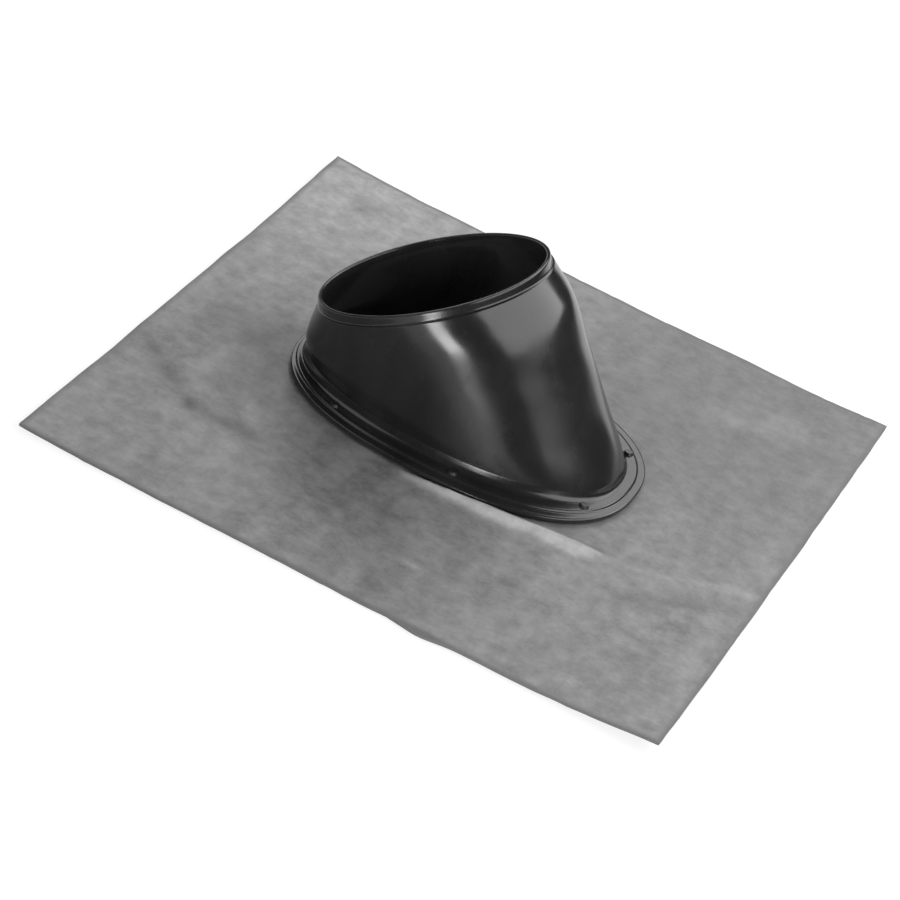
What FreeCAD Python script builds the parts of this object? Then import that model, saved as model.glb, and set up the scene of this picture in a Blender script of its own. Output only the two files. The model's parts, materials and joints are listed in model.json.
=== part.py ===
"""Pitched-roof pipe flashing boot, in millimetres, +Z up.

A black moulded boot with a slanted round mouth is riveted through a gasket and a soft lead apron to a
backing ring. Origin: middle of the apron, on the surface that the flashing lies on. +X runs down the
roof, Y across it. The boot leans up the roof, so its mouth is level on a roof of the mouth's own tilt.
"""
import FreeCAD
import Part
import math
import os

Vector = FreeCAD.Vector

# Lead apron
APRON_LENGTH = 400.0          # down the roof
APRON_WIDTH = 450.0           # across the roof
LEAD_THICKNESS = 1.8
APRON_HOLE_SHARE = 0.90       # where the hole's edge lies, from the skirt's rim (0) to the hood's foot (1)
DRAPE_SPAN_COUNTS = (18, 20)  # patches of the draped surface along X and Y
DRAPE_REACH = 34.0            # how far from the skirt the lead takes to settle
DRAPE_FULLNESS = 2.42         # superellipse power of the oval that the drape follows
CORNER_REACH = 120.0          # how far a lifted corner is felt along the apron
LIFT_DOWNSLOPE_NEAR = 6.4     # corners left standing clear of the ground; near is the -Y side
LIFT_UPSLOPE_NEAR = 1.4
LIFT_UPSLOPE_FAR = 3.2
LIFT_DOWNSLOPE_FAR = 2.4
SWELL_HEIGHT = 0.5            # low swells left in the sheet by handling
LOWEST_LEAD = 0.2             # the backing ring alone touches the ground, with the lead just above it
SWELL_LENGTHS = (150.0, 190.0)

# Backing ring, gasket and rivets
RING_THICKNESS = 2.5
RING_SHARES = (0.10, 0.92)    # outer and inner edge, as shares from the skirt's rim to the hood's foot
GASKET_THICKNESS = 1.0
GASKET_SHARES = (0.07, 0.82)
RIVET_PITCH_COUNT = 7         # equal pitches round the skirt; the one at the narrow upslope end stays bare
RIVET_SHANK_RADIUS = 1.6
RIVET_HOLE_CLEARANCE = 0.1
RIVET_HEAD_RADIUS = 3.2
RIVET_HEAD_TOP_RADIUS = 2.3
RIVET_HEAD_HEIGHT = 1.5
RIVET_FLOOR = 0.6             # plastic left under the blind hole that each rivet is driven into

# Skirt flange of the boot, from its rim to the foot of the hood
FOOT_CENTRE_X = -14.0
FOOT_HALF_LENGTH = 102.0
FOOT_HALF_WIDTH = 65.6
FOOT_FULLNESS = 0.64          # handle length of a quarter curve, as a share of its half size
SKIRT_UPSLOPE_WIDTH = 5.0     # how far the skirt stands out from the hood's foot
SKIRT_DOWNSLOPE_WIDTH = 14.0
SKIRT_SIDE_WIDTH = 18.4
SKIRT_FULLNESS = 0.67
CIRCLE_FULLNESS = 0.5523      # the fullness at which a quarter curve follows a circle
LIP_HEIGHT = 3.2              # upright outer edge of the skirt
LIP_CHAMFER = 0.7
STEP_HEIGHT = 1.4             # riser between the lip's land and the rivets' land
STEP_SHARE = 0.36
RIVET_LAND_SHARE = 0.80       # the flat land for the rivets ends here and the fillet to the wall begins
RIVET_LINE_SHARE = 0.59
FILLET_SHARE = 0.91
FILLET_RISE = 1.7
FOOT_RISE = 9.7               # foot of the hood above the underside of the skirt
CAVITY_SHARE = 0.86           # inner edge of the skirt's flat underside

# Hood and neck
HOOD_WALL = 3.0               # measured in the plane of each cross-section
NECK_WALL = 2.6
MOUTH_TILT = math.radians(30.6)
MOUTH_RADIUS = 70.0           # outside of the neck
MOUTH_OVERHANG = 3.4          # the mouth's low edge stands this far upslope of the hood's foot
MOUTH_LOW_EDGE = 42.1         # height of that edge above the underside of the skirt
NECK_LENGTH = 6.0
SHOULDER_STEP = 1.4           # the hood's top stands this far proud of the neck
HOOD_STRIP_COUNT = 10         # strips between the foot and the neck
HOOD_FRONT_SWELL = ((0.0, 0.0), (0.22, -3.0), (0.55, -2.0), (0.82, 3.6), (1.0, 0.0))  # height share, swell

TOOL_MARGIN = 1.0             # how far cutting tools run past what they cut

APRON_UNDERSIDE = RING_THICKNESS
GASKET_UNDERSIDE = APRON_UNDERSIDE + LEAD_THICKNESS
SKIRT_UNDERSIDE = GASKET_UNDERSIDE + GASKET_THICKNESS
LIP_TOP = SKIRT_UNDERSIDE + LIP_HEIGHT
RIVET_LAND_HEIGHT = LIP_TOP + STEP_HEIGHT
FOOT_HEIGHT = SKIRT_UNDERSIDE + FOOT_RISE
SKIRT_CENTRE_X = FOOT_CENTRE_X + (SKIRT_DOWNSLOPE_WIDTH - SKIRT_UPSLOPE_WIDTH) / 2
SKIRT_HALF_LENGTH = FOOT_HALF_LENGTH + (SKIRT_DOWNSLOPE_WIDTH + SKIRT_UPSLOPE_WIDTH) / 2
SKIRT_HALF_WIDTH = FOOT_HALF_WIDTH + SKIRT_SIDE_WIDTH
MOUTH_CENTRE = Vector(
    FOOT_CENTRE_X - FOOT_HALF_LENGTH - MOUTH_OVERHANG + MOUTH_RADIUS * math.cos(MOUTH_TILT),
    0.0,
    SKIRT_UNDERSIDE + MOUTH_LOW_EDGE + MOUTH_RADIUS * math.sin(MOUTH_TILT),
)
MOUTH_AXIS = Vector(-math.sin(MOUTH_TILT), 0.0, math.cos(MOUTH_TILT))
NECK_BASE = MOUTH_CENTRE - MOUTH_AXIS * NECK_LENGTH
CORNER_LIFTS = (
    (1, -1, LIFT_DOWNSLOPE_NEAR),
    (-1, -1, LIFT_UPSLOPE_NEAR),
    (-1, 1, LIFT_UPSLOPE_FAR),
    (1, 1, LIFT_DOWNSLOPE_FAR),
)
BORE_RADIUS = MOUTH_RADIUS - NECK_WALL


def mix(start, end, share):
    return start + (end - start) * share


def smooth(value):
    return value * value * (3 - 2 * value)


def oval_wire(centre, half_length, half_width, fullness, tilt=0.0):
    """Closed oval of four quarter curves, in a plane that is tilted about Y, high on its +X side."""
    along_axis = Vector(math.cos(tilt), 0.0, math.sin(tilt)) * half_length
    across_axis = Vector(0.0, half_width, 0.0)
    quarters = []
    for start, end in (
        (along_axis, across_axis),
        (across_axis, -along_axis),
        (-along_axis, -across_axis),
        (-across_axis, along_axis),
    ):
        curve = Part.BezierCurve()
        curve.setPoles([
            centre + start,
            centre + start + end * fullness,
            centre + end + start * fullness,
            centre + end,
        ])
        quarters.append(curve.toShape())
    return Part.Wire(quarters)


def skirt_wire(share, height, inset=0.0):
    """Outline of the skirt: share 0 is its outer rim and share 1 is the foot of the hood."""
    return oval_wire(
        Vector(mix(SKIRT_CENTRE_X, FOOT_CENTRE_X, share), 0.0, height),
        mix(SKIRT_HALF_LENGTH, FOOT_HALF_LENGTH, share) - inset,
        mix(SKIRT_HALF_WIDTH, FOOT_HALF_WIDTH, share) - inset,
        mix(SKIRT_FULLNESS, FOOT_FULLNESS, share),
    )


def skirt_prism(share, bottom, height):
    return Part.Face(skirt_wire(share, bottom)).extrude(Vector(0, 0, height))


def hood_swell(share):
    """How far the hood's front stands out of a straight taper at a share of its height."""
    for (low, low_swell), (high, high_swell) in zip(HOOD_FRONT_SWELL, HOOD_FRONT_SWELL[1:]):
        if share <= high:
            return mix(low_swell, high_swell, smooth((share - low) / (high - low)))
    return 0.0


def hood_wire(share, inset=0.0):
    """Cross-section of the hood: share 0 is its foot and share 1 is the bottom of the neck."""
    foot_centre = Vector(FOOT_CENTRE_X, 0.0, FOOT_HEIGHT)
    tilt = MOUTH_TILT * share
    forward = Vector(math.cos(tilt), 0.0, math.sin(tilt))
    half_swell = hood_swell(share) / 2
    top_radius = MOUTH_RADIUS + SHOULDER_STEP
    return oval_wire(
        mix(foot_centre, NECK_BASE, share) + forward * half_swell,
        mix(FOOT_HALF_LENGTH, top_radius, share) + half_swell - inset,
        mix(FOOT_HALF_WIDTH, top_radius, share) - inset,
        mix(FOOT_FULLNESS, CIRCLE_FULLNESS, share),
        tilt,
    )


def hood_body(inset=0.0):
    shares = [step / HOOD_STRIP_COUNT for step in range(HOOD_STRIP_COUNT + 1)]
    return Part.makeLoft([hood_wire(share, inset) for share in shares], True, True)


def skirt_body():
    """Solid skirt under its stepped top: lip with an outer land, rivet land and fillet to the hood."""
    lip = Part.makeLoft([
        skirt_wire(0.0, SKIRT_UNDERSIDE),
        skirt_wire(0.0, LIP_TOP - LIP_CHAMFER),
        skirt_wire(0.0, LIP_TOP, LIP_CHAMFER),
    ], True, True)
    step = skirt_prism(STEP_SHARE, SKIRT_UNDERSIDE, RIVET_LAND_HEIGHT - SKIRT_UNDERSIDE)
    fillet = Part.makeLoft([
        skirt_wire(RIVET_LAND_SHARE, RIVET_LAND_HEIGHT),
        skirt_wire(FILLET_SHARE, RIVET_LAND_HEIGHT + FILLET_RISE),
        skirt_wire(1.0, FOOT_HEIGHT),
    ], True, True)
    return lip.fuse([step, fillet])


def skirt_cavity():
    """Hollow under the skirt, from its flat underside up to the inside of the hood's foot."""
    return Part.makeLoft([
        skirt_wire(CAVITY_SHARE, SKIRT_UNDERSIDE - TOOL_MARGIN),
        skirt_wire(1.0, FOOT_HEIGHT, HOOD_WALL),
    ], True, True)


def rivet_places():
    """Points on the rivet line at equal arc pitches, clear of the narrow upslope end."""
    line = skirt_wire(RIVET_LINE_SHARE, 0.0)
    half_pitches = line.discretize(Number=2 * RIVET_PITCH_COUNT + 1)
    return [half_pitches[index] for index in range(1, 2 * RIVET_PITCH_COUNT, 2) if index != RIVET_PITCH_COUNT]


def drill(shape, bottom, depth, radius):
    """Take one upright round hole out of the shape at every rivet."""
    for place in rivet_places():
        start = Vector(place.x, place.y, bottom)
        shape = shape.cut(Part.makeCylinder(radius, depth, start))
    return shape


def make_boot():
    neck = Part.makeCylinder(MOUTH_RADIUS, NECK_LENGTH, NECK_BASE, MOUTH_AXIS)
    boot = skirt_body().fuse([hood_body(), neck])
    boot = boot.cut(skirt_cavity().fuse(hood_body(HOOD_WALL)))
    bore_start = NECK_BASE - MOUTH_AXIS * TOOL_MARGIN
    boot = boot.cut(Part.makeCylinder(BORE_RADIUS, NECK_LENGTH + 2 * TOOL_MARGIN, bore_start, MOUTH_AXIS))
    boot = drill(boot, SKIRT_UNDERSIDE - TOOL_MARGIN, FOOT_RISE, RIVET_SHANK_RADIUS + RIVET_HOLE_CLEARANCE)
    return boot


def drape_height(x, y):
    """Height of the apron's underside: held up at the backing ring and settling to the surface."""
    along = abs(x - SKIRT_CENTRE_X) / SKIRT_HALF_LENGTH
    across = abs(y) / SKIRT_HALF_WIDTH
    reach = (along ** DRAPE_FULLNESS + across ** DRAPE_FULLNESS) ** (1 / DRAPE_FULLNESS)
    outside = max(0.0, (reach - 1) * math.hypot(x - SKIRT_CENTRE_X, y) / max(reach, 1e-6))
    held = math.exp(-(outside / DRAPE_REACH) ** 2)
    swell = LOWEST_LEAD + SWELL_HEIGHT * (1 - math.cos(2 * math.pi * x / SWELL_LENGTHS[0])
                                          * math.cos(2 * math.pi * y / SWELL_LENGTHS[1]))
    lifted = 0.0
    for side_x, side_y, lift in CORNER_LIFTS:
        distance = math.hypot(x - side_x * APRON_LENGTH / 2, y - side_y * APRON_WIDTH / 2)
        lifted += lift * max(0.0, 1 - distance / CORNER_REACH) ** 2
    return mix(swell + lifted, APRON_UNDERSIDE, held)


def draped_sheet():
    columns, rows = DRAPE_SPAN_COUNTS
    grid = []
    for column in range(columns + 1):
        x = APRON_LENGTH * (column / columns - 0.5)
        heights = [APRON_WIDTH * (row / rows - 0.5) for row in range(rows + 1)]
        grid.append([Vector(x, y, drape_height(x, y)) for y in heights])
    surface = Part.BSplineSurface()
    surface.interpolate(grid)
    return surface.toShape().extrude(Vector(0, 0, LEAD_THICKNESS))


def make_apron():
    """Draped sheet with a flat clamped seat under the skirt and the oval hole for the pipe."""
    seat_share = GASKET_SHARES[0] / 2
    window = skirt_prism(seat_share, -APRON_WIDTH, 2 * APRON_WIDTH)
    seat = skirt_prism(seat_share, APRON_UNDERSIDE, LEAD_THICKNESS)
    hole = skirt_prism(APRON_HOLE_SHARE, 0.0, 2 * GASKET_UNDERSIDE)
    apron = draped_sheet().cut(window).fuse(seat).cut(hole)
    return drill(apron, 0.0, 2 * GASKET_UNDERSIDE, RIVET_SHANK_RADIUS + RIVET_HOLE_CLEARANCE)


def flat_ring(shares, bottom, thickness):
    outer = skirt_prism(shares[0], bottom, thickness)
    return outer.cut(skirt_prism(shares[1], bottom - TOOL_MARGIN, thickness + 2 * TOOL_MARGIN))


def make_gasket():
    gasket = flat_ring(GASKET_SHARES, GASKET_UNDERSIDE, GASKET_THICKNESS)
    return drill(gasket, GASKET_UNDERSIDE - TOOL_MARGIN, GASKET_THICKNESS + 2 * TOOL_MARGIN,
                 RIVET_SHANK_RADIUS + RIVET_HOLE_CLEARANCE)


def make_backing_ring():
    """Flat oval ring under the lead, with a blind hole for each rivet."""
    ring = flat_ring(RING_SHARES, 0.0, RING_THICKNESS)
    return drill(ring, RIVET_FLOOR, RING_THICKNESS, RIVET_SHANK_RADIUS + RIVET_HOLE_CLEARANCE)


def make_rivet(place):
    """Tapered head on the rivet land and a shank through the stack into the backing ring."""
    tip = Vector(place.x, place.y, RIVET_FLOOR + RIVET_HOLE_CLEARANCE)
    seat = Vector(place.x, place.y, RIVET_LAND_HEIGHT)
    shank = Part.makeCylinder(RIVET_SHANK_RADIUS, seat.z - tip.z, tip)
    return Part.makeCone(RIVET_HEAD_RADIUS, RIVET_HEAD_TOP_RADIUS, RIVET_HEAD_HEIGHT, seat).fuse(shank)


def export(shape, name):
    solids = shape.Solids
    whole = solids[0] if len(solids) == 1 else Part.makeCompound(solids)
    print(f"{name}: {len(solids)} solid(s), volume {shape.Volume / 1000:.1f} cm3, valid {shape.isValid()}")
    whole.exportStep(f"parts/{name}.step")


def main():
    os.makedirs("parts", exist_ok=True)
    export(make_boot(), "boot_shell")
    export(make_apron(), "lead_apron")
    export(make_gasket(), "sealing_gasket")
    export(make_backing_ring(), "retaining_ring")
    export(Part.makeCompound([make_rivet(place) for place in rivet_places()]), "flange_rivets")


main()
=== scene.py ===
"""Looks of the pipe flashing boot: the black moulded boot, the draped lead apron and plain studio light."""

import json
import math

import bpy
from mathutils import Matrix, Quaternion, Vector, noise


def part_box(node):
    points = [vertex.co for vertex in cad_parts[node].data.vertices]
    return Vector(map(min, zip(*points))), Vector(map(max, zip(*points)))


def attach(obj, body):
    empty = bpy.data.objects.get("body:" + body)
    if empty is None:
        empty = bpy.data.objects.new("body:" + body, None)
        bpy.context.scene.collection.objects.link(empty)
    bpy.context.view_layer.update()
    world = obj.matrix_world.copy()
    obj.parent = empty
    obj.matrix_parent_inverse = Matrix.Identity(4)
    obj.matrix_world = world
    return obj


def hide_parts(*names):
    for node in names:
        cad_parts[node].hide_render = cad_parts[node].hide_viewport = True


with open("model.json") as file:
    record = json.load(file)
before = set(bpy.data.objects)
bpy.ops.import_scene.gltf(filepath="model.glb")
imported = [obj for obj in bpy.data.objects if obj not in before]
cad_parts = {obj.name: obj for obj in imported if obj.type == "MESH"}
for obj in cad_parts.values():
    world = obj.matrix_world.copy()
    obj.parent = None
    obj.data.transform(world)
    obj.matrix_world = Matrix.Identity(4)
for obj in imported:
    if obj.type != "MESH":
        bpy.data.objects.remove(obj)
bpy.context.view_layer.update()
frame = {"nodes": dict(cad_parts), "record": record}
nodes = frame["nodes"]

BODY = "root"
TINY = 1e-6
BOOT_LOW, BOOT_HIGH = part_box("boot_shell")
APRON_LOW, APRON_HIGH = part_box("lead_apron")
RING_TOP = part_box("retaining_ring")[1].z
GASKET_LOW, GASKET_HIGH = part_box("sealing_gasket")
MOUTH = next(mount for mount in frame["record"]["mounts"] if mount["name"] == "mouth_bore")

# Boot, in metres. A share runs from the skirt's rim (0) to the foot of the hood (1)
SKIRT_UNDERSIDE = GASKET_HIGH.z
SKIRT_UPSLOPE_WIDTH = 0.005
SKIRT_DOWNSLOPE_WIDTH = 0.014
SKIRT_SIDE_WIDTH = 0.0184
SKIRT_FULLNESS = 2.42          # superellipse power
FOOT_FULLNESS = 2.3
CIRCLE_FULLNESS = 2.0
LIP_HEIGHT = 0.0032
LIP_CHAMFER = 0.0007
LIP_CHAMFER_SHARE = 0.045
STEP_HEIGHT = 0.0014
STEP_SHARES = (0.345, 0.375)
RIVET_LAND_SHARE = 0.80
FILLET_SHARE = 0.91
FILLET_RISE = 0.0017
FOOT_RISE = 0.0097
CAVITY_SHARE = 0.86
CAVITY_EDGE_HEIGHT = 0.001
HOOD_WALL = 0.003
SHOULDER_STEP = 0.0014
NECK_WALL = 0.0026
HOOD_SWELL = ((0.0, 0.0), (0.25, -0.0024), (0.55, -0.0010), (0.82, 0.0026), (1.0, 0.0))

# How finely the boot's section is divided, and how its edges are rounded
RING_ANGLES = 240
HOOD_STEPS = 48
SHOULDER_STEPS = 3
NECK_STEPS = 12
RIM_STEPS = 6
BORE_STEPS = 10
HOOD_INSIDE_STEPS = 30
CAVITY_STEPS = 8
CAVITY_EDGE_STEPS = 3
UNDERSIDE_STEPS = 12
SOFTENING_PASSES = 5
SOFTENING_REACH = 0.0012
SOFTENING_SHARE = 0.5

MOUTH_AXIS = Vector(MOUTH["axis"]).normalized()
MOUTH_TILT = math.atan2(-MOUTH_AXIS.x, MOUTH_AXIS.z)
BORE_RADIUS = MOUTH["dims"]["r_mm"] / 1000
NECK_LENGTH = MOUTH["dims"]["length_mm"] / 1000
NECK_MIDDLE = Vector(MOUTH["pos_m"])
NECK_RADIUS = BORE_RADIUS + NECK_WALL
SHOULDER_RADIUS = NECK_RADIUS + SHOULDER_STEP
SKIRT_CENTRE_X = (BOOT_LOW.x + BOOT_HIGH.x) / 2
SKIRT_HALF_LENGTH = (BOOT_HIGH.x - BOOT_LOW.x) / 2
SKIRT_HALF_WIDTH = (BOOT_HIGH.y - BOOT_LOW.y) / 2
FOOT_CENTRE_X = SKIRT_CENTRE_X + (SKIRT_UPSLOPE_WIDTH - SKIRT_DOWNSLOPE_WIDTH) / 2
FOOT_HALF_LENGTH = SKIRT_HALF_LENGTH - (SKIRT_UPSLOPE_WIDTH + SKIRT_DOWNSLOPE_WIDTH) / 2
FOOT_HALF_WIDTH = SKIRT_HALF_WIDTH - SKIRT_SIDE_WIDTH
FOOT_HEIGHT = SKIRT_UNDERSIDE + FOOT_RISE

# Lead apron, in metres
LEAD_THICKNESS = GASKET_LOW.z - RING_TOP
LEAD_SEAT = RING_TOP
APRON_HALF_LENGTH = (APRON_HIGH.x - APRON_LOW.x) / 2
APRON_HALF_WIDTH = (APRON_HIGH.y - APRON_LOW.y) / 2
APRON_HOLE_SHARE = 0.90
APRON_ANGLES = 440
APRON_RINGS = 88
APRON_CORNERS = ((1, -1), (1, 1), (-1, 1), (-1, -1))
HOLE_SEARCH_STEPS = 40
SHARP_EDGE = math.radians(50)
DRAPE_REACH = 0.034
CORNER_REACH = 0.12
CORNER_LIFTS = ((1, -1, 0.0064), (-1, -1, 0.0014), (-1, 1, 0.0032), (1, 1, 0.0024))
LOWEST_LEAD = 0.0002
SWELL_HEIGHT = 0.0005
SWELL_LENGTHS = (0.15, 0.19)

# Fold in the lead, from beside the skirt's near side to past its lower end
FOLD_GAP = 0.002               # between the skirt's side and the crest where the fold starts
FOLD_START_X = SKIRT_CENTRE_X + 0.020
FOLD_END_X = BOOT_HIGH.x + 0.011
FOLD_START_Y = -(SKIRT_HALF_WIDTH + FOLD_GAP)
FOLD_END_Y = FOLD_START_Y + 0.016
FOLD_FADES = (0.040, 0.036)    # lengths over which it rises and dies away
FOLD_OVERRUN = 0.3             # share of the second length that lies past its end
FOLD_BEND = 1.8
FOLD_HEIGHT = 0.0042
FOLD_WIDTH = 0.0050
FOLD_CLEARANCE = 0.005
# Painted highlight: the fold's near slope catches the light, and that light is painted into the lead's
# colour through a layer
FOLD_HIGHLIGHT_LAYER = "painted_fold_highlight"
HIGHLIGHT_OFFSET = 0.70             # the painted highlight lies this share of the fold's width below its crest
HIGHLIGHT_WIDTH = 0.90
HIGHLIGHT_WAVER = 0.003
HIGHLIGHT_UNEVENNESS = 0.5

# Unevenness of the lead: cycles per metre along X and Y, and the layer of the noise field
LEAD_NOISE = {
    "swells": (14, 14, 3.1),
    "dents": (42, 42, 7.7),
    "grain": (110, 95, 1.3),
    "cut_edge": (22, 22, 9.0),
    "mark_line": (30, 30, 11.0),
    "mark_strength": (45, 45, 13.0),
    "highlight_line": (38, 38, 15.0),
    "highlight_strength": (60, 60, 17.0),
}
CRINKLE_HEIGHTS = (("swells", 0.0007), ("dents", 0.00032), ("grain", 0.00012))
CRINKLE_CLEARANCE = 0.012
CRINKLE_LIFT = 0.0006
WRINKLE_ALONG = (24, 9)        # cycles per metre of X and Y that turn the wrinkles askew
WRINKLE_ACROSS = (-12, 30)
WRINKLE_NOISE_LAYER = 5.2
WRINKLE_SHARPNESS = 0.05
WRINKLE_DEPTH = 0.000245
EDGE_BAND = 0.004
EDGE_WAVER = 0.0009
NIB_SHARE = 0.27               # place of the nib on the near edge, as a share of the half length
NIB_HEIGHT = 0.0032
NIB_WIDTH = 0.014

# Handling marks on the lead, with painted light and shade among them. A place is given as shares of the
# sheet's half length and half width
PAINTED_LIGHT_PLACE = (-0.8, 1.1)       # painted light: the lead is painted palest here, as a sheen towards the back-left corner
PAINTED_LIGHT_REACH = 0.30
PAINTED_LIGHT_STRENGTH = 0.75
PAINTED_SHADE_PLACE = (0.6, 0.6)        # painted shade: and darker round here, towards the right back
PAINTED_SHADE_REACH = 0.24
PAINTED_SHADE_STRENGTH = 0.45
SHADE_LAYER = "handling_marks_and_painted_shade"
MARK_WAVER = 0.004
MARK_STRENGTH = 0.92
MARK_UNEVENNESS = 0.5
# Each mark is a line: start place, end place, half width, brightness that it adds and lift
MARKS = (
    ((-0.95, -0.35), (-0.70, -0.55), 0.006, -0.35, -0.0005),  # crease near the upslope corner, darkened along its dent as painted shade
    ((-0.70, -0.55), (-0.50, -0.55), 0.007, -0.40, -0.0006),
    ((0.65, -0.30), (0.95, -0.15), 0.006, 0.25, 0.0006),      # where the fold runs out: a painted highlight along the raised line and painted shade along the dent beside it
    ((0.65, -0.45), (0.95, -0.25), 0.006, -0.25, -0.0006),
    ((-0.80, 0.80), (-0.75, 0.85), 0.009, -0.30, 0.0),        # thumb marks
    ((-0.70, -0.10), (-0.65, 0.00), 0.011, -0.30, -0.0003),
    ((0.10, -0.75), (0.15, -0.75), 0.004, 0.45, 0.0004),      # scratches near the cut edge
    ((0.65, -0.90), (0.70, -0.90), 0.004, 0.35, 0.0006),
    ((0.55, 0.65), (0.75, 0.75), 0.015, 0.40, 0.0),           # rubbed place
)

# Finishes. A ramp is two pairs of a noise level and the value there
PLASTIC_TONE = ((0.3, 0.010), (0.7, 0.019))
PLASTIC_ROUGHNESS = ((0.3, 0.13), (0.72, 0.26))
PLASTIC_BUMPS = ((0.35, 0.0022), (0.06, 0.0002))  # strength and distance of its waves and its grain
DUST_SHARE = ((0.62, 0.0), (0.80, 0.35))
DUST_TONE = 0.04
LEAD_TONE = ((0.34, 0.145), (0.66, 0.225))
LEAD_CLOUDS = ((0.32, 0.09), (0.68, 0.30))
LEAD_MOTTLE = ((0.32, 0.07), (0.68, 0.37))
LEAD_STREAKS = ((0.35, 0.10), (0.68, 0.33))
LEAD_ROUGHNESS = ((0.3, 0.42), (0.75, 0.60))
LEAD_METALLIC = 0.25
CLOUD_SHARE = 0.45
MOTTLE_SHARE = 0.46
STREAK_SHARE = 0.22
# Strength and distance of its clouds, mottle, streaks and specks
LEAD_BUMPS = ((0.5, 0.0014), (0.45, 0.0007), (0.3, 0.0006), (0.2, 0.0003))
SPECK_SHARE = ((0.60, 0.0), (0.76, 0.45))
SPECK_TONE = 0.10
PAINTED_LIGHT_TONE = ((0.3, 0.27), (0.7, 0.45))
PAINTED_SHADE_TONE = 0.10
# Painted highlight on the fold's near slope: its share and its tone
HIGHLIGHT_SHARE = ((0.0, 0.0), (0.9, 0.85))
HIGHLIGHT_TONE = ((0.3, 0.38), (0.7, 0.58))
CUT_EDGE_TONE = 0.13
BLOTCH_LEVELS = (0.3, 0.7)
BLOTCH_TONES = (0.7, 1.5)      # times the material's own tone
BLOTCH_ROUGHNESS = 0.08        # to either side of the material's own roughness
BLOTCH_BUMP = (0.25, 0.0003)
# CAD node, material, tone, roughness and grain of the pieces that stay as packed
PAINTED_NODES = (
    ("sealing_gasket", "gasket_rubber", 0.03, 0.75, 500),
    ("retaining_ring", "ring_plastic", 0.02, 0.45, 300),
    ("flange_rivets", "rivet_metal", 0.012, 0.35, 700),
)

# Camera: turned and rolled as a hand-held picture of a part that lies on a table
CAMERA_AZIMUTH = math.radians(12.07)
CAMERA_ELEVATION = math.radians(30.44)
CAMERA_ROLL = math.radians(20.49)
CAMERA_DISTANCE = 2.3062
CAMERA_AIM = Vector((-0.0044, -0.0390, 0.0030))
CAMERA_LENS = 156.58
SENSOR_WIDTH = 36.0
CLIP_END = 100.0

# Studio
STUDIO_AIM = Vector((0.0, -0.04, 0.09))
WORLD_LEVEL = 0.36
FLOOR_SIZE = 12.0
FLOOR_TONE = 0.86
FLOOR_ROUGHNESS = 0.9
FLOOR_WHITENESS = 0.75
FLOOR_GLOW = 1.12
# Name, azimuth, elevation, distance, width and height, radiance, and what differs from a plain lamp
LAMPS = (
    ("soft_box", 105, 40, 1.2, (2.5, 0.80), 3.5, {}),
    ("back_panel", 195, 32, 1.3, (1.6, 0.75), 2.3, {}),
    ("low_strip", 13, 0, 0.42, (0.10, 0.18), 13.0, {"roll": 40, "diffuse": False}),
    ("raking_light", 0, 9, 1.6, (0.6, 0.35), 26.0, {"glossy": False}),
    ("fill", -70, 50, 1.5, (1.2, 0.8), 1.2, {}),
)
DARK_CARD = {"name": "dark_card", "azimuth": 38, "elevation": 20, "distance": 0.7, "size": (0.25, 0.62)}


def mix(start, end, share):
    return start + (end - start) * share


def smooth(value):
    """Ease from 0 to 1, level at both ends."""
    value = min(max(value, 0.0), 1.0)
    return value * value * (3 - 2 * value)


def even_shares(count):
    """Even shares from 0 up to 1, the last one left out."""
    return [step / count for step in range(count)]


def oval_ring(centre, half_length, half_width, fullness, tilt=0.0):
    """Points of a superellipse in a plane that is tilted about Y, high on its +X side."""
    points = []
    for step in range(RING_ANGLES):
        angle = 2 * math.pi * step / RING_ANGLES
        along = half_length * math.copysign(abs(math.cos(angle)) ** (2 / fullness), math.cos(angle))
        across = half_width * math.copysign(abs(math.sin(angle)) ** (2 / fullness), math.sin(angle))
        points.append(centre + Vector((along * math.cos(tilt), across, along * math.sin(tilt))))
    return points


def skirt_ring(share, height, inset=0.0):
    """Outline of the skirt: share 0 is its outer rim and share 1 is the foot of the hood."""
    return oval_ring(
        Vector((mix(SKIRT_CENTRE_X, FOOT_CENTRE_X, share), 0.0, height)),
        mix(SKIRT_HALF_LENGTH, FOOT_HALF_LENGTH, share) - inset,
        mix(SKIRT_HALF_WIDTH, FOOT_HALF_WIDTH, share) - inset,
        mix(SKIRT_FULLNESS, FOOT_FULLNESS, share),
    )


def hood_swell(share):
    """Front swell of the hood at a height share, on a smooth curve through its stations."""
    slopes = [0.0]
    for (low, low_swell), (high, high_swell) in zip(HOOD_SWELL, HOOD_SWELL[2:]):
        slopes.append((high_swell - low_swell) / (high - low))
    slopes.append(0.0)
    for index, (low, low_swell) in enumerate(HOOD_SWELL[:-1]):
        high, high_swell = HOOD_SWELL[index + 1]
        if share <= high:
            span = high - low
            part = (share - low) / span
            bend = slopes[index] * (1 - part) - slopes[index + 1] * part
            return mix(low_swell, high_swell, smooth(part)) + span * part * (1 - part) * bend
    return 0.0


def hood_ring(share, inset=0.0):
    """Cross-section of the hood: share 0 is its foot and share 1 is the bottom of the neck."""
    foot = Vector((FOOT_CENTRE_X, 0.0, FOOT_HEIGHT))
    neck_base = NECK_MIDDLE - MOUTH_AXIS * (NECK_LENGTH / 2)
    tilt = MOUTH_TILT * share
    swell = hood_swell(share) / 2
    return oval_ring(
        mix(foot, neck_base, share) + Vector((math.cos(tilt), 0, math.sin(tilt))) * swell,
        mix(FOOT_HALF_LENGTH, SHOULDER_RADIUS, share) + swell - inset,
        mix(FOOT_HALF_WIDTH, SHOULDER_RADIUS, share) - inset,
        mix(FOOT_FULLNESS, CIRCLE_FULLNESS, share),
        tilt,
    )


def neck_ring(height, radius):
    """Circle of the neck at a height along the mouth's axis from the middle of the neck."""
    return oval_ring(NECK_MIDDLE + MOUTH_AXIS * height, radius, radius, CIRCLE_FULLNESS, MOUTH_TILT)


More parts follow.
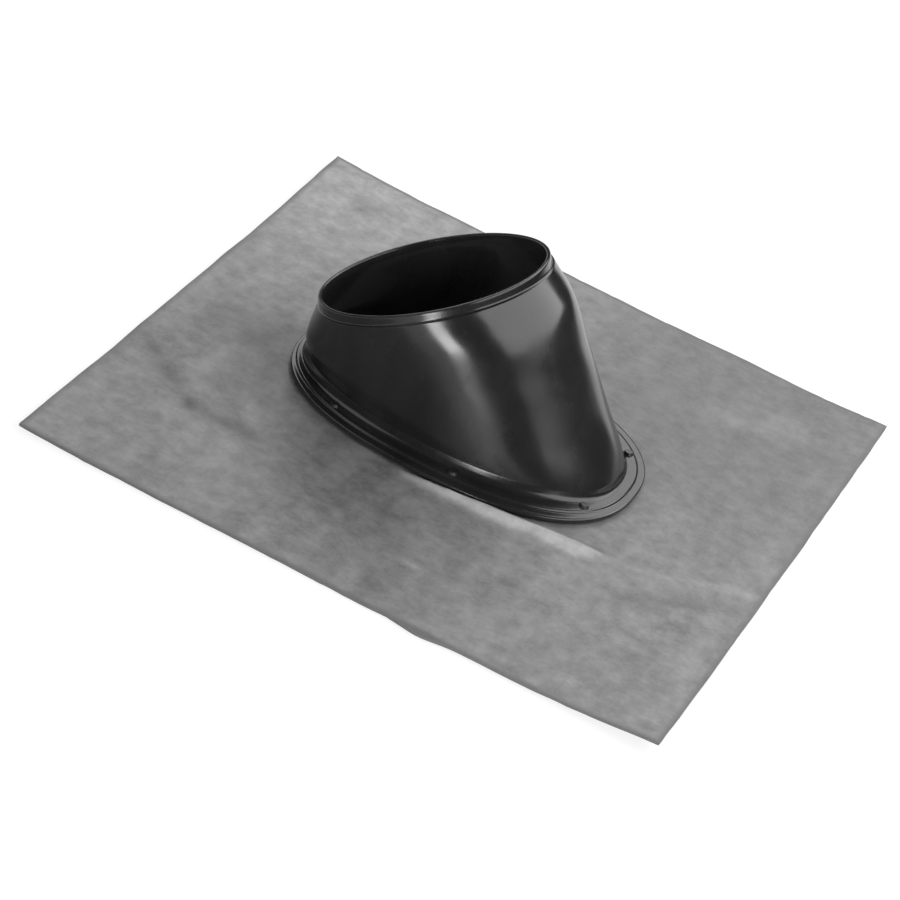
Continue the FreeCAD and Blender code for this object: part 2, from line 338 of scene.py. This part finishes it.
def skirt_top_rings():
    """Rings of the skirt from its outer rim over the lip, the step and the fillet to the hood's foot."""
    lip_top = SKIRT_UNDERSIDE + LIP_HEIGHT
    land = lip_top + STEP_HEIGHT
    profile = (  # share, height and steps to the next line
        (0.0, SKIRT_UNDERSIDE, 8),
        (0.0, lip_top - LIP_CHAMFER, 3),
        (LIP_CHAMFER_SHARE, lip_top, 10),
        (STEP_SHARES[0], lip_top, 4),
        (STEP_SHARES[1], land, 12),
        (RIVET_LAND_SHARE, land, 5),
        (FILLET_SHARE, land + FILLET_RISE, 8),
        (1.0, FOOT_HEIGHT, 1),
    )
    rings = []
    for (share, height, steps), (next_share, next_height, _) in zip(profile, profile[1:]):
        for part in even_shares(steps):
            rings.append(skirt_ring(mix(share, next_share, part), mix(height, next_height, part)))
    return rings


def hood_and_neck_rings():
    """Rings up the outside of the hood and neck, over the rim and down to the inside of the hood's foot."""
    top = NECK_LENGTH / 2
    rings = [hood_ring((1 - math.cos(math.pi * part)) / 2) for part in even_shares(HOOD_STEPS)]
    rings += [neck_ring(-top, mix(SHOULDER_RADIUS, NECK_RADIUS, part))
              for part in even_shares(SHOULDER_STEPS)]
    rings += [neck_ring(mix(-top, top, part), NECK_RADIUS) for part in even_shares(NECK_STEPS)]
    rings += [neck_ring(top, mix(NECK_RADIUS, BORE_RADIUS, part)) for part in even_shares(RIM_STEPS)]
    rings += [neck_ring(mix(top, -top, part), BORE_RADIUS) for part in even_shares(BORE_STEPS)]
    rings += [hood_ring(1 - part, HOOD_WALL) for part in even_shares(HOOD_INSIDE_STEPS)]
    return rings


def skirt_inside_rings():
    """Rings of the hollow under the skirt and of its flat underside, out to the rim."""
    cavity_edge = SKIRT_UNDERSIDE + CAVITY_EDGE_HEIGHT
    rings = []
    for part in even_shares(CAVITY_STEPS):
        share = mix(1.0, CAVITY_SHARE, part)
        rings.append(skirt_ring(share, mix(FOOT_HEIGHT, cavity_edge, part), mix(HOOD_WALL, 0.0, part)))
    for part in even_shares(CAVITY_EDGE_STEPS):
        rings.append(skirt_ring(CAVITY_SHARE, mix(cavity_edge, SKIRT_UNDERSIDE, part)))
    for part in even_shares(UNDERSIDE_STEPS):
        rings.append(skirt_ring(mix(CAVITY_SHARE, 0.0, part), SKIRT_UNDERSIDE))
    return rings


def soften(rings):
    """Round the edges of a closed section by moving each ring a little towards its two neighbours."""
    for _ in range(SOFTENING_PASSES):
        softened = []
        for index, ring in enumerate(rings):
            before = rings[index - 1]
            after = rings[(index + 1) % len(rings)]
            blended = []
            for point, low, high in zip(ring, before, after):
                near = (low - point).length
                far = (high - point).length
                target = (low * far + high * near) / (near + far)
                reach = min(1.0, SOFTENING_REACH / max(near, far))
                blended.append(point.lerp(target, SOFTENING_SHARE * reach))
            softened.append(blended)
        rings = softened
    return rings


def mesh_object(name, vertices, faces, material):
    """New smooth piece in the object's own frame, riding on its body."""
    mesh = bpy.data.meshes.new(name)
    mesh.from_pydata(vertices, [], faces)
    mesh.materials.append(material)
    mesh.polygons.foreach_set("use_smooth", [True] * len(mesh.polygons))
    mesh.update()
    piece = bpy.data.objects.new(name, mesh)
    bpy.context.scene.collection.objects.link(piece)
    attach(piece, BODY)
    return piece


def make_boot(material):
    """Boot as one closed section of rings, each joined to the next and the last to the first."""
    rings = soften(skirt_top_rings() + hood_and_neck_rings() + skirt_inside_rings())
    vertices = [point for ring in rings for point in ring]
    faces = []
    for index in range(len(rings)):
        low = index * RING_ANGLES
        high = (index + 1) % len(rings) * RING_ANGLES
        for step in range(RING_ANGLES):
            after = (step + 1) % RING_ANGLES
            faces.append((low + step, low + after, high + after, high + step))
    boot = mesh_object("boot", vertices, faces, material)
    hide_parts("boot_shell")


def skirt_distance(x, y):
    """How far a point of the apron lies outside the skirt, along its ray from the skirt's middle."""
    along = abs(x - SKIRT_CENTRE_X) / SKIRT_HALF_LENGTH
    across = abs(y) / SKIRT_HALF_WIDTH
    reach = (along ** SKIRT_FULLNESS + across ** SKIRT_FULLNESS) ** (1 / SKIRT_FULLNESS)
    return (reach - 1) * math.hypot(x - SKIRT_CENTRE_X, y) / max(reach, TINY)


def sheet_place(shares):
    """Point of the sheet at shares of its half length and half width."""
    return Vector((shares[0] * APRON_HALF_LENGTH, shares[1] * APRON_HALF_WIDTH))


def lead_noise(name, x, y):
    """One unevenness of the lead at a point of the sheet, from -1 to 1."""
    along, across, layer = LEAD_NOISE[name]
    return noise.noise(Vector((x * along, y * across, layer)))


def bell(distance, half_width):
    """1 in the middle of a ridge or line, falling off to both sides."""
    return math.exp(-(distance / half_width) ** 2)


def fold_place(x, y):
    """Share of the fold's full height at this point of its run, and the distance across from its crest."""
    rise, fall = FOLD_FADES
    share = max(0.0, (x - FOLD_START_X) / (FOLD_END_X - FOLD_START_X))
    ends = smooth((x - FOLD_START_X + rise) / rise) * smooth((FOLD_END_X - x) / fall + FOLD_OVERRUN)
    return ends, y - mix(FOLD_START_Y, FOLD_END_Y, share ** FOLD_BEND)


def fold_height(x, y):
    """Ridge in the lead that starts beside the skirt's near side and runs on past its lower end."""
    ends, across = fold_place(x, y)
    return FOLD_HEIGHT * ends * bell(across, FOLD_WIDTH)


def painted_fold_highlight(x, y):
    """Painted highlight on the near slope of the fold, where that slope faces the light, uneven along its
    run.
    """
    ends, across = fold_place(x, y)
    across += HIGHLIGHT_WAVER * lead_noise("highlight_line", x, 0.0)
    highlight_gain = 1.0 + HIGHLIGHT_UNEVENNESS * lead_noise("highlight_strength", x, y)
    return ends * highlight_gain * bell(across + FOLD_WIDTH * HIGHLIGHT_OFFSET, FOLD_WIDTH * HIGHLIGHT_WIDTH)


def mark_layers(x, y):
    """Brightness and lift that the marks add at a point, each line wavering along its run; the brightness
    holds handling marks and painted shade and highlight on creases.
    """
    waver = MARK_WAVER * lead_noise("mark_line", x, y)
    strength = MARK_STRENGTH + MARK_UNEVENNESS * lead_noise("mark_strength", x, y)
    shade = 0.0
    lift = 0.0
    for start_shares, end_shares, half_width, brightness, height in MARKS:
        start = sheet_place(start_shares)
        run = sheet_place(end_shares) - start
        place = Vector((x, y)) - start
        share = min(max(place.dot(run) / run.length_squared, 0.0), 1.0)
        fade = bell((place - run * share).length + waver, half_width) * strength
        shade += brightness * fade
        lift += height * fade
    return shade, lift


def crinkle(x, y):
    """Small swells, dents and wrinkles that handling leaves in soft lead."""
    height = sum(depth * lead_noise(name, x, y) for name, depth in CRINKLE_HEIGHTS)
    along = x * WRINKLE_ALONG[0] + y * WRINKLE_ALONG[1]
    across = x * WRINKLE_ACROSS[0] + y * WRINKLE_ACROSS[1]
    wrinkle = abs(noise.noise(Vector((along, across, WRINKLE_NOISE_LAYER))))
    return height - WRINKLE_DEPTH * bell(wrinkle, WRINKLE_SHARPNESS)


def drape_height(x, y):
    """Height of the apron's underside, as the lead settles from the backing ring to the ground."""
    outside = max(0.0, skirt_distance(x, y))
    held = bell(outside, DRAPE_REACH)
    swell = LOWEST_LEAD + SWELL_HEIGHT * (1 - math.cos(2 * math.pi * x / SWELL_LENGTHS[0])
                                          * math.cos(2 * math.pi * y / SWELL_LENGTHS[1]))
    lifted = 0.0
    for side_x, side_y, lift in CORNER_LIFTS:
        distance = math.hypot(x - side_x * APRON_HALF_LENGTH, y - side_y * APRON_HALF_WIDTH)
        lifted += lift * max(0.0, 1 - distance / CORNER_REACH) ** 2
    height = mix(swell + lifted, LEAD_SEAT, held) + smooth(outside / FOLD_CLEARANCE) * fold_height(x, y)
    handled = crinkle(x, y) + mark_layers(x, y)[1] + CRINKLE_LIFT
    return max(height + smooth(outside / CRINKLE_CLEARANCE) * handled, LOWEST_LEAD)


def edge_point(angle):
    """Where a ray from the skirt's middle meets the apron's cut edge, with the edge's slight waviness."""
    ray = Vector((math.cos(angle), math.sin(angle)))
    reach_x = (math.copysign(APRON_HALF_LENGTH, ray.x) - SKIRT_CENTRE_X) / ray.x if ray.x else math.inf
    reach_y = math.copysign(APRON_HALF_WIDTH, ray.y) / ray.y if ray.y else math.inf
    point = Vector((SKIRT_CENTRE_X, 0.0)) + ray * min(reach_x, reach_y)
    waver = EDGE_WAVER * lead_noise("cut_edge", point.x, point.y)
    if reach_y < reach_x:
        nib_gap = point.x - NIB_SHARE * APRON_HALF_LENGTH
        nib = NIB_HEIGHT * bell(nib_gap, NIB_WIDTH) if point.y < 0 else 0.0
        point.y += math.copysign(waver + nib, point.y)
    else:
        point.x += math.copysign(waver, point.x)
    return point


def apron_angles():
    """Angles round the skirt's middle, spread evenly along the apron's edge and hitting its four corners."""
    points = [sheet_place(corner) for corner in APRON_CORNERS]
    perimeter = sum((points[index] - points[index - 1]).length for index in range(len(points)))
    angles = []
    for index, start in enumerate(points):
        end = points[(index + 1) % len(points)]
        steps = round(APRON_ANGLES * (end - start).length / perimeter)
        for part in even_shares(steps):
            place = start.lerp(end, part)
            angles.append(math.atan2(place.y, place.x - SKIRT_CENTRE_X))
    return angles


def hole_point(angle):
    """Point of the apron's oval hole on a ray from the skirt's middle."""
    half_length = mix(SKIRT_HALF_LENGTH, FOOT_HALF_LENGTH, APRON_HOLE_SHARE)
    half_width = mix(SKIRT_HALF_WIDTH, FOOT_HALF_WIDTH, APRON_HOLE_SHARE)
    shift = mix(SKIRT_CENTRE_X, FOOT_CENTRE_X, APRON_HOLE_SHARE) - SKIRT_CENTRE_X
    power = mix(SKIRT_FULLNESS, FOOT_FULLNESS, APRON_HOLE_SHARE)
    ray = Vector((math.cos(angle), math.sin(angle)))
    low, high = 0.0, 2 * half_length
    for _ in range(HOLE_SEARCH_STEPS):
        reach = (low + high) / 2
        point = ray * reach
        inside = (abs(point.x - shift) / half_length) ** power + (abs(point.y) / half_width) ** power < 1
        low, high = (reach, high) if inside else (low, reach)
    return Vector((SKIRT_CENTRE_X, 0.0)) + ray * low


def sheet_faces(count):
    """Faces of the sheet's top and underside, ring by ring, and of the two edges that join them."""
    faces = []
    base = APRON_RINGS * count
    for ring in range(APRON_RINGS - 1):
        for step in range(count):
            after = (step + 1) % count
            low = ring * count
            high = low + count
            faces.append((low + step, high + step, high + after, low + after))
            faces.append((base + low + after, base + high + after, base + high + step, base + low + step))
    last = (APRON_RINGS - 1) * count
    for step in range(count):
        after = (step + 1) % count
        faces.append((step, after, base + after, base + step))
        faces.append((last + after, last + step, base + last + step, base + last + after))
    return faces


def add_layer(mesh, name, values):
    """Store one number at each point of the mesh for its material to read."""
    layer = mesh.attributes.new(name, "FLOAT", "POINT")
    layer.data.foreach_set("value", values)


def make_apron(material):
    """Lead sheet as rings from its hole to its cut edge, with the painted highlight, handling marks and
    painted shade that its material shows.
    """
    angles = apron_angles()
    inner = [hole_point(angle) for angle in angles]
    outer = [edge_point(angle) for angle in angles]
    top = []
    under = []
    for ring in range(APRON_RINGS):
        share = ring / (APRON_RINGS - 1)
        for start, end in zip(inner, outer):
            place = start.lerp(end, share)
            height = drape_height(place.x, place.y)
            top.append(Vector((place.x, place.y, height + LEAD_THICKNESS)))
            under.append(Vector((place.x, place.y, height)))
    points = top + under
    apron = mesh_object("apron", points, sheet_faces(len(angles)), material)
    apron.data.set_sharp_from_angle(angle=SHARP_EDGE)
    add_layer(apron.data, FOLD_HIGHLIGHT_LAYER, [painted_fold_highlight(point.x, point.y) for point in points])
    add_layer(apron.data, SHADE_LAYER, [1 + mark_layers(point.x, point.y)[0] for point in points])
    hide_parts("lead_apron")


class Look:
    """Short hand for building one material's node tree."""

    def __init__(self, name):
        self.material = bpy.data.materials.new(name)
        self.material.use_nodes = True
        self.tree = self.material.node_tree
        self.shader = self.tree.nodes["Principled BSDF"]
        self.place = self.add("ShaderNodeTexCoord").outputs["Object"]

    def add(self, kind, **settings):
        node = self.tree.nodes.new(kind)
        for key, value in settings.items():
            setattr(node, key, value)
        return node

    def link(self, source, target):
        self.tree.links.new(source, target)

    def put(self, socket, value):
        """Link a socket to another one, or set it to a constant."""
        if isinstance(value, bpy.types.NodeSocket):
            self.link(value, socket)
        else:
            socket.default_value = value

    def noise(self, scale, detail=4.0, roughness=0.55, stretch=(1, 1, 1)):
        mapping = self.add("ShaderNodeMapping")
        mapping.inputs["Scale"].default_value = stretch
        self.link(self.place, mapping.inputs["Vector"])
        node = self.add("ShaderNodeTexNoise")
        node.inputs["Scale"].default_value = scale
        node.inputs["Detail"].default_value = detail
        node.inputs["Roughness"].default_value = roughness
        self.link(mapping.outputs["Vector"], node.inputs["Vector"])
        return node.outputs["Fac"]

    def ramp(self, source, stops):
        node = self.add("ShaderNodeValToRGB")
        for element, (position, value) in zip(node.color_ramp.elements, stops):
            element.position = position
            element.color = grey(value)
        self.link(source, node.inputs["Fac"])
        return node.outputs["Color"]

    def layer(self, name):
        """A number that the mesh stores at each of its points."""
        return self.add("ShaderNodeAttribute", attribute_name=name).outputs["Fac"]

    def mixed(self, share, first, second, kind="MIX"):
        node = self.add("ShaderNodeMix", data_type="RGBA", blend_type=kind)
        self.put(node.inputs["Factor"], share)
        self.put(node.inputs["A"], first)
        self.put(node.inputs["B"], second)
        return node.outputs["Result"]

    def near(self, shares, reach, strength):
        """The strength at a place of the sheet, fading to 0 at the reach from it."""
        gap = self.add("ShaderNodeVectorMath", operation="DISTANCE")
        self.link(self.place, gap.inputs[0])
        gap.inputs[1].default_value = sheet_place(shares).to_3d()
        band = self.add("ShaderNodeMapRange", interpolation_type="SMOOTHSTEP")
        band.inputs["From Max"].default_value = reach
        band.inputs["To Min"].default_value = strength
        band.inputs["To Max"].default_value = 0.0
        self.link(gap.outputs["Value"], band.inputs["Value"])
        return band.outputs["Result"]

    def edge_share(self):
        """1 at the apron's cut edge, fading to 0 within EDGE_BAND of it."""
        axes = self.add("ShaderNodeSeparateXYZ")
        self.link(self.place, axes.inputs["Vector"])
        bands = []
        for axis, half in (("X", APRON_HALF_LENGTH), ("Y", APRON_HALF_WIDTH)):
            size = self.add("ShaderNodeMath", operation="ABSOLUTE")
            self.link(axes.outputs[axis], size.inputs[0])
            band = self.add("ShaderNodeMapRange")
            band.inputs["From Min"].default_value = half - EDGE_BAND
            band.inputs["From Max"].default_value = half
            self.link(size.outputs["Value"], band.inputs["Value"])
            bands.append(band.outputs["Result"])
        nearest = self.add("ShaderNodeMath", operation="MAXIMUM")
        for socket, band in zip(nearest.inputs, bands):
            self.link(band, socket)
        return nearest.outputs["Value"]

    def bump(self, sources, settings):
        """Stack of bumps, each one a height source with its strength and distance."""
        normal = None
        for source, (strength, distance) in zip(sources, settings):
            node = self.add("ShaderNodeBump")
            node.inputs["Strength"].default_value = strength
            node.inputs["Distance"].default_value = distance
            self.link(source, node.inputs["Height"])
            if normal:
                self.link(normal, node.inputs["Normal"])
            normal = node.outputs["Normal"]
        self.link(normal, self.shader.inputs["Normal"])


def grey(value):
    return (value, value, value, 1)


def boot_plastic():
    """Glossy black plastic with faint flow marks up the hood, a little dust and a slightly wavy skin."""
    look = Look("boot_plastic")
    flow = look.noise(scale=26, detail=5, roughness=0.6, stretch=(1, 1, 0.25))
    dust = look.ramp(look.noise(scale=210, detail=3, roughness=0.7), DUST_SHARE)
    tone = look.mixed(dust, look.ramp(flow, PLASTIC_TONE), grey(DUST_TONE))
    look.link(tone, look.shader.inputs["Base Color"])
    gloss = look.ramp(look.noise(scale=38, detail=4), PLASTIC_ROUGHNESS)
    look.link(gloss, look.shader.inputs["Roughness"])
    waves = look.noise(scale=16, detail=2, roughness=0.4)
    grain = look.noise(scale=900, detail=2)
    look.bump((waves, grain), PLASTIC_BUMPS)
    return look.material


def apron_lead():
    """Dull grey lead: cloudy patina, faint streaks across the roof, specks, painted light at the back-left
    and painted shade at the right back, a painted highlight on the fold, handling marks with painted shade,
    and a dark cut edge.
    """
    look = Look("apron_lead")
    broad = look.noise(scale=6, detail=3, roughness=0.5)
    clouds = look.noise(scale=30, detail=5, roughness=0.6)
    mottle = look.noise(scale=95, detail=6, roughness=0.7)
    streaks = look.noise(scale=46, detail=4, roughness=0.6, stretch=(1.0, 0.18, 1.0))
    specks = look.noise(scale=430, detail=3, roughness=0.7)
    tone = look.ramp(broad, LEAD_TONE)
    for share, source, stops in (
        (CLOUD_SHARE, clouds, LEAD_CLOUDS),
        (MOTTLE_SHARE, mottle, LEAD_MOTTLE),
        (STREAK_SHARE, streaks, LEAD_STREAKS),
    ):
        tone = look.mixed(share, tone, look.ramp(source, stops))
    for share, colour in (
        (look.ramp(specks, SPECK_SHARE), grey(SPECK_TONE)),
        # painted light towards the back-left corner, and painted shade towards the right back
        (look.near(PAINTED_LIGHT_PLACE, PAINTED_LIGHT_REACH, PAINTED_LIGHT_STRENGTH), look.ramp(mottle, PAINTED_LIGHT_TONE)),
        (look.near(PAINTED_SHADE_PLACE, PAINTED_SHADE_REACH, PAINTED_SHADE_STRENGTH), grey(PAINTED_SHADE_TONE)),
        # painted highlight on the fold's near slope
        (look.ramp(look.layer(FOLD_HIGHLIGHT_LAYER), HIGHLIGHT_SHARE), look.ramp(mottle, HIGHLIGHT_TONE)),
    ):
        tone = look.mixed(share, tone, colour)
    # handling marks, and painted shade and highlight on creases and the fold's end
    tone = look.mixed(1.0, tone, look.layer(SHADE_LAYER), "MULTIPLY")
    tone = look.mixed(look.edge_share(), tone, grey(CUT_EDGE_TONE))
    look.link(tone, look.shader.inputs["Base Color"])
    look.shader.inputs["Metallic"].default_value = LEAD_METALLIC
    look.link(look.ramp(clouds, LEAD_ROUGHNESS), look.shader.inputs["Roughness"])
    look.bump((clouds, mottle, streaks, specks), LEAD_BUMPS)
    return look.material


def dull_black(name, tone, roughness, grain):
    """Black material with soft blotches in its tone and roughness."""
    look = Look(name)
    blotches = look.noise(scale=60, detail=4)
    tones = [(level, tone * share) for level, share in zip(BLOTCH_LEVELS, BLOTCH_TONES)]
    gloss = list(zip(BLOTCH_LEVELS, (roughness - BLOTCH_ROUGHNESS, roughness + BLOTCH_ROUGHNESS)))
    look.link(look.ramp(blotches, tones), look.shader.inputs["Base Color"])
    look.link(look.ramp(blotches, gloss), look.shader.inputs["Roughness"])
    look.bump([look.noise(scale=grain, detail=3)], [BLOTCH_BUMP])
    return look.material


def paint_nodes():
    for node_name, name, tone, roughness, grain in PAINTED_NODES:
        materials = nodes[node_name].data.materials
        materials.clear()
        materials.append(dull_black(name, tone, roughness, grain))


def direction(azimuth, elevation):
    """Unit vector for angles in radians; azimuth 0 is the -Y side and a quarter turn the +X side."""
    return Vector((math.sin(azimuth) * math.cos(elevation),
                   -math.cos(azimuth) * math.cos(elevation),
                   math.sin(elevation)))


def make_camera():
    back = direction(CAMERA_AZIMUTH, CAMERA_ELEVATION)
    level = Vector((math.cos(CAMERA_AZIMUTH), math.sin(CAMERA_AZIMUTH), 0.0))
    upright = back.cross(level)
    right = level * math.cos(CAMERA_ROLL) + upright * math.sin(CAMERA_ROLL)
    up = upright * math.cos(CAMERA_ROLL) - level * math.sin(CAMERA_ROLL)
    turn = Matrix((right, up, back)).transposed().to_4x4()
    data = bpy.data.cameras.new("camera")
    data.lens = CAMERA_LENS
    data.sensor_width = SENSOR_WIDTH
    data.clip_end = CLIP_END
    camera = bpy.data.objects.new("camera", data)
    camera.matrix_world = Matrix.Translation(CAMERA_AIM + back * CAMERA_DISTANCE) @ turn
    bpy.context.scene.collection.objects.link(camera)
    bpy.context.scene.camera = camera


def face_studio(item, azimuth, elevation, distance, roll=0):
    """Set a lamp or card up at a distance from STUDIO_AIM and turn it there; angles in degrees."""
    away = direction(math.radians(azimuth), math.radians(elevation))
    item.location = STUDIO_AIM + away * distance
    turn = away.to_track_quat("Z", "Y") @ Quaternion((0.0, 0.0, 1.0), math.radians(roll))
    item.rotation_euler = turn.to_euler()
    bpy.context.scene.collection.objects.link(item)


def area_light(name, azimuth, elevation, distance, size, radiance, roll=0, diffuse=True, glossy=True):
    """Soft box that looks as bright as its radiance, where white is 1."""
    data = bpy.data.lights.new(name, "AREA")
    data.shape = "RECTANGLE"
    data.size, data.size_y = size
    data.energy = radiance * math.pi * size[0] * size[1]
    light = bpy.data.objects.new(name, data)
    light.visible_camera = False
    light.visible_diffuse = diffuse
    light.visible_glossy = glossy
    face_studio(light, azimuth, elevation, distance, roll)


def flat_panel(name, width, height):
    """Level rectangle about the origin, with a new material; gives the piece and its node tree."""
    x = width / 2
    y = height / 2
    mesh = bpy.data.meshes.new(name)
    mesh.from_pydata([(-x, -y, 0), (x, -y, 0), (x, y, 0), (-x, y, 0)], [], [(0, 1, 2, 3)])
    material = bpy.data.materials.new(name)
    material.use_nodes = True
    mesh.materials.append(material)
    return bpy.data.objects.new(name, mesh), material.node_tree


def dark_card(name, azimuth, elevation, distance, size):
    """Black card that only reflections see, for the dark band between two soft boxes."""
    card, tree = flat_panel(name, *size)
    face_studio(card, azimuth, elevation, distance)
    shader = tree.nodes["Principled BSDF"]
    shader.inputs["Base Color"].default_value = grey(0.0)
    shader.inputs["Specular IOR Level"].default_value = 0.0
    card.visible_camera = False
    card.visible_diffuse = False
    card.visible_shadow = False


def make_floor():
    """White floor that keeps a part of the object's shadow in the camera's view."""
    floor, tree = flat_panel("floor", FLOOR_SIZE, FLOOR_SIZE)
    bpy.context.scene.collection.objects.link(floor)
    shader = tree.nodes["Principled BSDF"]
    shader.inputs["Base Color"].default_value = grey(FLOOR_TONE)
    shader.inputs["Roughness"].default_value = FLOOR_ROUGHNESS
    path = tree.nodes.new("ShaderNodeLightPath")
    share = tree.nodes.new("ShaderNodeMath")
    share.operation = "MULTIPLY"
    share.inputs[1].default_value = FLOOR_WHITENESS
    glow = tree.nodes.new("ShaderNodeEmission")
    glow.inputs["Strength"].default_value = FLOOR_GLOW
    blend = tree.nodes.new("ShaderNodeMixShader")
    tree.links.new(path.outputs["Is Camera Ray"], share.inputs[0])
    tree.links.new(share.outputs["Value"], blend.inputs["Fac"])
    tree.links.new(shader.outputs["BSDF"], blend.inputs[1])
    tree.links.new(glow.outputs["Emission"], blend.inputs[2])
    tree.links.new(blend.outputs["Shader"], tree.nodes["Material Output"].inputs["Surface"])


def make_world():
    """Dim all-round light, white where the camera sees it."""
    world = bpy.data.worlds.new("studio")
    bpy.context.scene.world = world
    world.use_nodes = True
    tree = world.node_tree
    path = tree.nodes.new("ShaderNodeLightPath")
    level = tree.nodes.new("ShaderNodeMapRange")
    level.inputs["To Min"].default_value = WORLD_LEVEL
    level.inputs["To Max"].default_value = 1.0
    tree.links.new(path.outputs["Is Camera Ray"], level.inputs["Value"])
    tree.links.new(level.outputs["Result"], tree.nodes["Background"].inputs["Strength"])


make_boot(boot_plastic())
make_apron(apron_lead())
paint_nodes()

bpy.context.scene.view_settings.view_transform = "Standard"
make_camera()
make_floor()
make_world()
for *settings, options in LAMPS:
    area_light(*settings, **options)
dark_card(**DARK_CARD)
